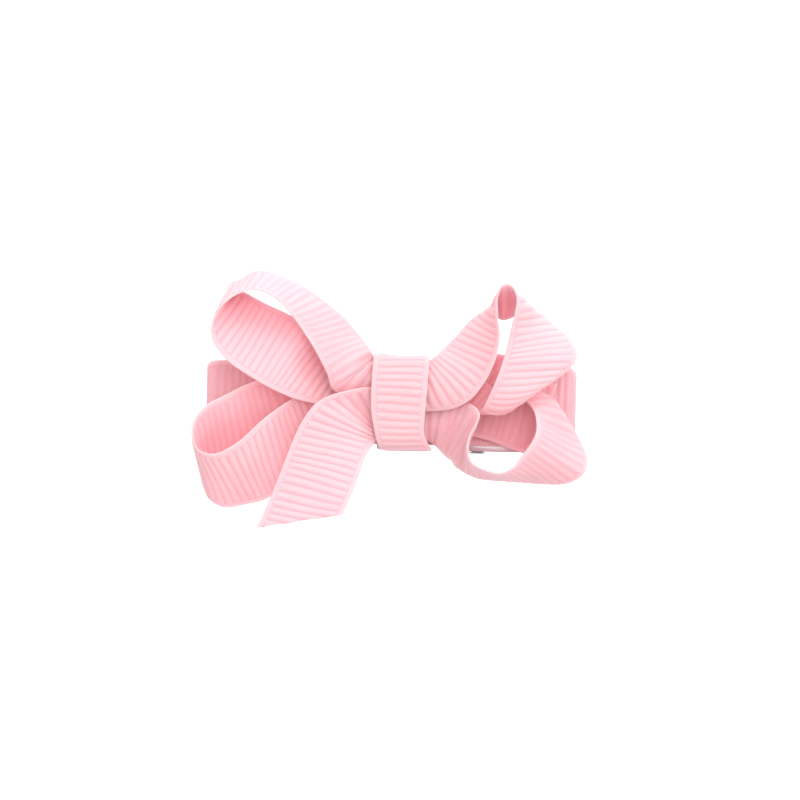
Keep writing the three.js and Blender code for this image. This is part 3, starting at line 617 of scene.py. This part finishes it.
stand_for(wrap, ARM_BODY, "centre_wrap")
declare(cover, "clip_cover_ribbon")
for piece, node_name, length, resting in (
        (loop_top_left, "loop_top_left", top_left_length, [loop_bottom_left]),
        (loop_bottom_left, "loop_bottom_left", bottom_left_length, [cover]),
        (loop_top_right, "loop_top_right", top_right_length, [loop_bottom_right]),
        (loop_bottom_right, "loop_bottom_right", bottom_right_length, [tail_back]),
        (tail_front, "tail_front_left", tail_front_length, [loop_top_left]),
        (tail_back, "tail_back_right", tail_back_length, [cover])):
    declare(piece, node_name)


# %% [markdown]
# ## Spring, pin and thread
# The spring is one hard-drawn wire: a leg on the covered arm, a coil round the pin and a short leg
# on the lever. The leg on the lever moves, so it is a piece of its own. A round wire is a circle
# swept along a curve, and becomes a mesh once it is right.

# %% Sweep a round wire
def wire(name, points, radius, material, sides=3):
    """A round wire through points in millimetres, as a mesh."""
    curve = bpy.data.curves.new(name, "CURVE")
    curve.dimensions = "3D"
    curve.bevel_depth = radius * MM
    curve.bevel_resolution = sides
    curve.use_fill_caps = True
    strand = curve.splines.new("POLY")
    strand.points.add(len(points) - 1)
    for spot, point in zip(strand.points, points):
        spot.co = (*(Vector(point) * MM), 1)
    made = bpy.data.objects.new(name, curve)
    bpy.context.collection.objects.link(made)
    bpy.ops.object.select_all(action="DESELECT")
    made.select_set(True)
    bpy.context.view_layer.objects.active = made
    bpy.ops.object.convert(target="MESH")
    made = bpy.context.object
    for polygon in made.data.polygons:
        polygon.use_smooth = True
    made.data.materials.append(material)
    print(name, len(made.data.polygons), "faces")
    return made


# %% [markdown]
# ## Metal finishes
# The arms are stamped from rolled strip, so the steel has faint lines along the clip and a
# slightly uneven polish. The wire is drawn and brighter. Both read Object coordinates.

# %% Steel material
def steel(name, colour, roughness, lines, depth):
    """Bare steel with rolling or drawing lines, closely spaced across and long along X."""
    material = bpy.data.materials.new(name)
    material.use_nodes = True
    tree = material.node_tree
    shader = tree.nodes["Principled BSDF"]
    shader.inputs["Metallic"].default_value = 1
    place = node(tree, "ShaderNodeTexCoord")
    stretch = node(tree, "ShaderNodeMapping")
    stretch.inputs["Scale"].default_value = (lines[0], lines[1], lines[1])
    tree.links.new(place.outputs["Object"], stretch.inputs["Vector"])
    grain = node(tree, "ShaderNodeTexNoise")
    grain.inputs["Scale"].default_value = 1
    grain.inputs["Detail"].default_value = 3
    tree.links.new(stretch.outputs[0], grain.inputs["Vector"])
    cloud = node(tree, "ShaderNodeTexNoise")
    cloud.inputs["Scale"].default_value = 220
    tree.links.new(place.outputs["Object"], cloud.inputs["Vector"])
    polish = maths(tree, "ADD", maths(tree, "MULTIPLY", cloud.outputs[0], 0.16), roughness - 0.08)
    tree.links.new(polish, shader.inputs["Roughness"])
    dull = tuple(c * 0.82 for c in colour)
    tree.links.new(blend_colours(tree, grain.outputs[0], colour, dull), shader.inputs["Base Color"])
    bump = node(tree, "ShaderNodeBump")
    bump.inputs["Strength"].default_value = 0.25
    bump.inputs["Distance"].default_value = depth * MM
    tree.links.new(grain.outputs[0], bump.inputs["Height"])
    tree.links.new(bump.outputs[0], shader.inputs["Normal"])
    return material


sheet_steel = steel("rolled sheet steel", (0.62, 0.60, 0.61), 0.34, (300, 9000), 0.02)
wire_steel = steel("drawn wire steel", (0.52, 0.52, 0.54), 0.26, (2500, 2500), 0.01)
print("metals:", sheet_steel.name, "and", wire_steel.name)

# %% The spring's coil and both legs
HINGE_X, HINGE_Y, CLIP_Z = 10.0, 2.4, -0.4
WIRE_R, COIL_R, TURNS, COIL_PITCH = 0.3, 1.45, 6, 0.85
TURN_STEPS = 40  # points in one turn
FIXED_LEG = [(18 - 7.5 * k / 8, 0.45 + 0.5 * k / 8) for k in range(8)]
MOVING_LEG = [(10.45, 3.85), (13.2, 4), (15.5, 4.75), (18.2, 5.75)]
coil_half = TURNS * COIL_PITCH / 2
coil_points = [(x, y, CLIP_Z - coil_half) for x, y in FIXED_LEG]
coil_steps = TURNS * TURN_STEPS + TURN_STEPS // 2
for k in range(coil_steps + 1):
    angle = -math.pi / 2 - 2 * math.pi * k / TURN_STEPS
    coil_points.append((HINGE_X + COIL_R * math.cos(angle), HINGE_Y + COIL_R * math.sin(angle),
                        CLIP_Z - coil_half + 2 * coil_half * k / coil_steps))
spring = wire("spring_coil_wire", coil_points, WIRE_R, wire_steel)
leg_points = [Vector((x, y, CLIP_Z + coil_half)) for x, y in MOVING_LEG]
leg_course = [through(leg_points, k / 6) for k in range(19)]
leg = wire("spring_leg_wire", leg_course, WIRE_R, wire_steel)
stand_for(spring, ARM_BODY, "spring_coil")
stand_for(leg, LEVER_BODY, "spring_moving_leg")


# %% [markdown]
# ## The stamped arms and the rivet
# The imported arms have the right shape, with the knife edges of a solid. Stamped steel has slightly
# rounded edges that catch the light, so each arm is copied, its loose triangles are merged, flat
# faces are joined, and a narrow bevel rounds the edges.

# %% Round the edges of the steel
def stamped(node_name, name, body, material, width):
    """A copy of a packed steel node with rounded edges of a width in millimetres."""
    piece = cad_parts[node_name].copy()
    piece.data = piece.data.copy()
    for key in list(piece.keys()):
        if key.startswith("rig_"):
            del piece[key]
    piece.parent = None
    piece.name = piece.data.name = name
    bpy.context.collection.objects.link(piece)
    bpy.ops.object.select_all(action="DESELECT")
    piece.select_set(True)
    bpy.context.view_layer.objects.active = piece
    bpy.ops.object.mode_set(mode="EDIT")
    bpy.ops.mesh.select_all(action="SELECT")
    bpy.ops.mesh.remove_doubles(threshold=0.002 * MM)
    bpy.ops.mesh.dissolve_limited(angle_limit=math.radians(1.5))
    bpy.ops.object.mode_set(mode="OBJECT")
    bevel = piece.modifiers.new("rounded edges", "BEVEL")
    bevel.width = width * MM
    bevel.segments = 2
    bevel.angle_limit = math.radians(35)
    bevel.use_clamp_overlap = True
    bpy.ops.object.modifier_apply(modifier=bevel.name)
    bpy.ops.object.shade_smooth_by_angle(angle=math.radians(40))
    piece.data.materials.clear()
    piece.data.materials.append(material)
    stand_for(piece, body, node_name)
    print(name, len(piece.data.polygons), "faces")
    return piece


top_arm = stamped("clip_top_arm", "steel_top_arm", ARM_BODY, sheet_steel, 0.1)
lever = stamped("clip_lower_lever", "steel_lever", LEVER_BODY, sheet_steel, 0.1)
pin = stamped("hinge_pin", "steel_rivet", ARM_BODY, sheet_steel, 0.06)


# %% [markdown]
# ## Thread and glue
# Two turns of thread pinch the knot under the wrap. The glue is a thin set film, clear and a
# little yellow, that can be seen only where layers part.

# %% Thread and glue materials
def plain_finish(name, colour, shade, roughness, scale, depth):
    """A plain surface that varies between two colours, with a fine bump."""
    material = bpy.data.materials.new(name)
    material.use_nodes = True
    tree = material.node_tree
    shader = tree.nodes["Principled BSDF"]
    shader.inputs["Roughness"].default_value = roughness
    place = node(tree, "ShaderNodeTexCoord")
    noise = node(tree, "ShaderNodeTexNoise")
    noise.inputs["Scale"].default_value = scale
    noise.inputs["Detail"].default_value = 4
    tree.links.new(place.outputs["Object"], noise.inputs["Vector"])
    tree.links.new(blend_colours(tree, noise.outputs[0], colour, shade),
                   shader.inputs["Base Color"])
    bump = node(tree, "ShaderNodeBump")
    bump.inputs["Strength"].default_value = 0.3
    bump.inputs["Distance"].default_value = depth * MM
    tree.links.new(noise.outputs[0], bump.inputs["Height"])
    tree.links.new(bump.outputs[0], shader.inputs["Normal"])
    return material


thread_finish = plain_finish(
    "sewing thread", (0.90, 0.52, 0.58), (0.82, 0.40, 0.47), 0.7, 6000, 0.03)
glue_finish = plain_finish("set glue", (0.86, 0.85, 0.80), (0.72, 0.74, 0.70), 0.25, 900, 0.05)
for node_name, finish in (("binding_thread", thread_finish), ("bow_glue_left", glue_finish),
                          ("bow_glue_right", glue_finish), ("wrap_glue", glue_finish)):
    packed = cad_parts[node_name]
    packed.data.materials.clear()
    packed.data.materials.append(finish)
print("finished:", thread_finish.name, "and", glue_finish.name)


# %% [markdown]
# ## Studio
# The bow is lit like a catalogue picture: a white room, one broad light from above, a large fill
# from the front, a weak one from the right and one from behind for the background. The floor and
# the curved back wall are one sweep of paper, far enough away to show no shadow. It is pale grey
# under the bow, so that little light comes from below, and turns white towards the back.

# %% Paper sweep and world
def sweep(name, floor_z, wall_y, front_y, half_width, bend):
    """A floor that curves up into a wall behind the object."""
    profile = [(front_y, floor_z), (wall_y - bend, floor_z)]
    profile += [(wall_y - bend + bend * math.sin(math.radians(a)),
                 floor_z + bend - bend * math.cos(math.radians(a))) for a in range(10, 90, 10)]
    profile += [(wall_y, floor_z + bend), (wall_y, floor_z + 2.4)]
    grid = bmesh.new()
    sides = [[grid.verts.new((x, y, z)) for y, z in profile] for x in (-half_width, half_width)]
    for k in range(len(profile) - 1):
        grid.faces.new((sides[0][k], sides[1][k], sides[1][k + 1], sides[0][k + 1]))
    mesh = bpy.data.meshes.new(name)
    grid.to_mesh(mesh)
    grid.free()
    made = bpy.data.objects.new(name, mesh)
    bpy.context.collection.objects.link(made)
    for polygon in mesh.polygons:
        polygon.use_smooth = True
    return made


FLOOR_Z, WALL_Y, FRONT_Y, HALF_WIDTH, BEND = -0.09, 1.3, -1.3, 1.6, 0.35  # metres
GREY_UNTIL, WHITE_FROM = -0.2, 0.8  # along Y, in metres
FLOOR_GREY, PAPER_WHITE = (0.5, 0.5, 0.5), (0.96, 0.96, 0.96)
backdrop = sweep("studio_sweep", FLOOR_Z, WALL_Y, FRONT_Y, HALF_WIDTH, BEND)
paper = bpy.data.materials.new("white paper")
paper.use_nodes = True
tree = paper.node_tree
paper_shader = tree.nodes["Principled BSDF"]
paper_shader.inputs["Roughness"].default_value = 0.9
paper_shader.inputs["Emission Strength"].default_value = 0.4
place = node(tree, "ShaderNodeTexCoord")
split = node(tree, "ShaderNodeSeparateXYZ")
tree.links.new(place.outputs["Object"], split.inputs[0])
depth = node(tree, "ShaderNodeMapRange", interpolation_type="SMOOTHSTEP")
tree.links.new(split.outputs[1], depth.inputs["Value"])
depth.inputs["From Min"].default_value = GREY_UNTIL
depth.inputs["From Max"].default_value = WHITE_FROM
tree.links.new(blend_colours(tree, depth.outputs[0], FLOOR_GREY, PAPER_WHITE),
               paper_shader.inputs["Base Color"])
tree.links.new(blend_colours(tree, depth.outputs[0], (0, 0, 0), (1, 1, 1)),
               paper_shader.inputs["Emission Color"])
backdrop.data.materials.append(paper)

world = bpy.data.worlds.new("white room")
bpy.context.scene.world = world
world.use_nodes = True
room = world.node_tree.nodes["Background"]
room.inputs["Color"].default_value = (1, 0.995, 0.99, 1)
room.inputs["Strength"].default_value = 0.85
print("backdrop:", backdrop.name)

# %% Lights
def softbox(name, place, size, power):
    """A square light at place, in metres, that faces the bow."""
    lamp = bpy.data.lights.new(name, "AREA")
    lamp.size = size
    lamp.energy = power
    made = bpy.data.objects.new(name, lamp)
    made.location = place
    made.rotation_mode = "QUATERNION"
    made.rotation_quaternion = (-Vector(place)).to_track_quat("-Z", "Y")
    bpy.context.collection.objects.link(made)
    return made


softbox("key softbox", (0.12, -0.5, 0.72), 0.5, 2.9)
softbox("front fill", (0.15, -1.25, 0.2), 0.7, 5.4)
softbox("right fill", (0.7, -0.35, 0.05), 0.3, 1.0)
softbox("back fill", (0.1, 0.6, 0.5), 0.5, 2.2)


# %% [markdown]
# ## Camera
# A long lens, straight on to the front. The clip lies at a slight slant in the view, so the camera
# is rolled by that small angle.

# %% Camera
FRAME_WIDTH = 0.104
DISTANCE = 0.9
CLIP_SLANT = 1.2
AIM = Vector((-0.263, -6, 0.125)) * MM
camera_data = bpy.data.cameras.new("front camera")
camera_data.sensor_width = 36
camera_data.lens = 36 * DISTANCE / FRAME_WIDTH
camera_data.clip_start = 0.01
camera_data.clip_end = 20
camera = bpy.data.objects.new("front camera", camera_data)
camera.location = AIM + Vector((0, -DISTANCE, 0))
camera.rotation_euler = (math.radians(90), math.radians(-CLIP_SLANT), 0)
bpy.context.collection.objects.link(camera)
bpy.context.scene.camera = camera
bpy.context.scene.view_settings.view_transform = "Standard"
print("lens", round(camera_data.lens), "mm at", DISTANCE, "m")
